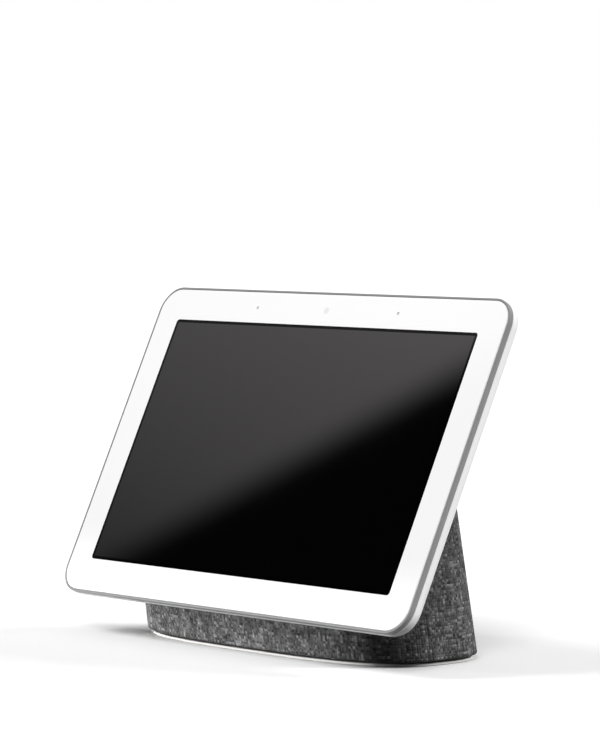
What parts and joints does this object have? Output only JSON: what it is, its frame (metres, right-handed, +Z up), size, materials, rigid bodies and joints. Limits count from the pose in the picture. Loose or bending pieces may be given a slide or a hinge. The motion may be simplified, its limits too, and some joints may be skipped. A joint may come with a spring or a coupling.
{
  "type": "smart display",
  "caption": "Smart display with a glass-fronted panel leaning back on a fabric-covered speaker base, a volume rocker and a microphone slide switch on its back.",
  "frame": {"origin": "centre of the base's footprint, on the table under the foot pad", "axes": "+X to the viewer's right along the panel's width, +Y to the back, +Z up; the screen faces -Y and leans back"},
  "size_m": [0.1784, 0.0673, 0.1184],
  "materials": {
    "white_plastic": "white injection-moulded plastic with a satin sheen",
    "grey_rim": "satin mid-grey plastic rim",
    "cover_glass": "polished cover glass, printed white round a black window on its back face",
    "black_glass": "polished black liquid-crystal panel",
    "grey_fabric": "tight grey melange weave, matt",
    "dark_plastic": "fine-textured black plastic",
    "steel": "zinc-plated steel, satin",
    "aluminium": "brushed sheet aluminium",
    "circuit_board": "green solder-resist circuit board",
    "chip": "black moulded chip package",
    "copper_flex": "amber polyimide flexible circuit",
    "black_rubber": "soft matt black rubber or foam",
    "foot_rubber": "pale silicone with a smooth moulded edge",
    "paper_cone": "treated paper, matt dark grey",
    "orange": "satin orange indicator strip",
    "copper": "enamelled copper winding"
  },
  "bodies": {
    "body": {"antenna_left": "copper_flex", "antenna_right": "copper_flex", "backlight_unit": "white_plastic", "ballast_weight": "steel", "base_plate": "dark_plastic", "base_screw_1": "steel", "base_screw_2": "steel", "base_screw_3": "steel", "base_screw_4": "steel", "base_shell": "dark_plastic", "bezel_frame": "grey_rim", "chassis_screw_1": "steel", "chassis_screw_2": "steel", "chassis_screw_3": "steel", "chassis_screw_4": "steel", "cover_glass": "cover_glass", "dc_jack": "dark_plastic", "display_flex": "copper_flex", "fabric_cover": "grey_fabric", "foot_pad": "foot_rubber", "glass_adhesive_frame": "black_rubber", "heat_spreader": "aluminium", "jack_grommet": "dark_plastic", "lcd_cell": "black_glass", "light_sensor_board": "circuit_board", "light_sensor_lens": "black_glass", "main_board": "circuit_board", "mic_board_left": "circuit_board", "mic_board_right": "circuit_board", "mic_seal_left": "black_rubber", "mic_seal_right": "black_rubber", "midplate": "aluminium", "mute_board": "circuit_board", "mute_label": "orange", "mute_switch_body": "steel", "neck_bracket": "steel", "power_board": "circuit_board", "power_lead": "black_rubber", "processor_chip": "chip", "rear_shell": "white_plastic", "rocker_pin": "steel", "speaker_basket": "steel", "speaker_gasket": "black_rubber", "speaker_lead": "black_rubber", "speaker_magnet": "steel", "speaker_surround": "black_rubber", "thermal_pad": "foot_rubber", "volume_board": "circuit_board", "volume_switch_down": "steel", "volume_switch_up": "steel", "wifi_module": "steel"},
    "rocker": {"volume_rocker": "white_plastic"},
    "up_plunger": {"volume_up_plunger": "dark_plastic"},
    "down_plunger": {"volume_down_plunger": "dark_plastic"},
    "mute_slide": {"mute_slider": "white_plastic", "mute_switch_lever": "dark_plastic"},
    "cone": {"speaker_cone": "paper_cone", "dust_cap": "paper_cone", "voice_coil": "copper"}
  },
  "joints": [
    {"name": "volume_rock", "type": "hinge", "parent": "body", "child": "rocker", "pos_m": [0.074, 0.00275, 0.08511], "axis": [1, 0, 0], "range_deg": [-2.5, 2.5]},
    {"name": "volume_up_press", "type": "slide", "parent": "body", "child": "up_plunger", "axis": [0, -0.9048, 0.4258], "range_m": [-0.00036, 0.00036]},
    {"name": "volume_down_press", "type": "slide", "parent": "body", "child": "down_plunger", "axis": [0, -0.9048, 0.4258], "range_m": [-0.00036, 0.00036]},
    {"name": "mute_slide_travel", "type": "slide", "parent": "body", "child": "mute_slide", "axis": [1, 0, 0], "range_m": [0, 0.0022]},
    {"name": "cone_travel", "type": "slide", "parent": "body", "child": "cone", "axis": [0, 0.979, 0.2036], "range_m": [-0.001, 0.001]}
  ],
  "couplings": [
    {"joint": "volume_up_press", "follows": "volume_rock", "m_per_rad": 0.008},
    {"joint": "volume_down_press", "follows": "volume_rock", "m_per_rad": -0.008}
  ]
}
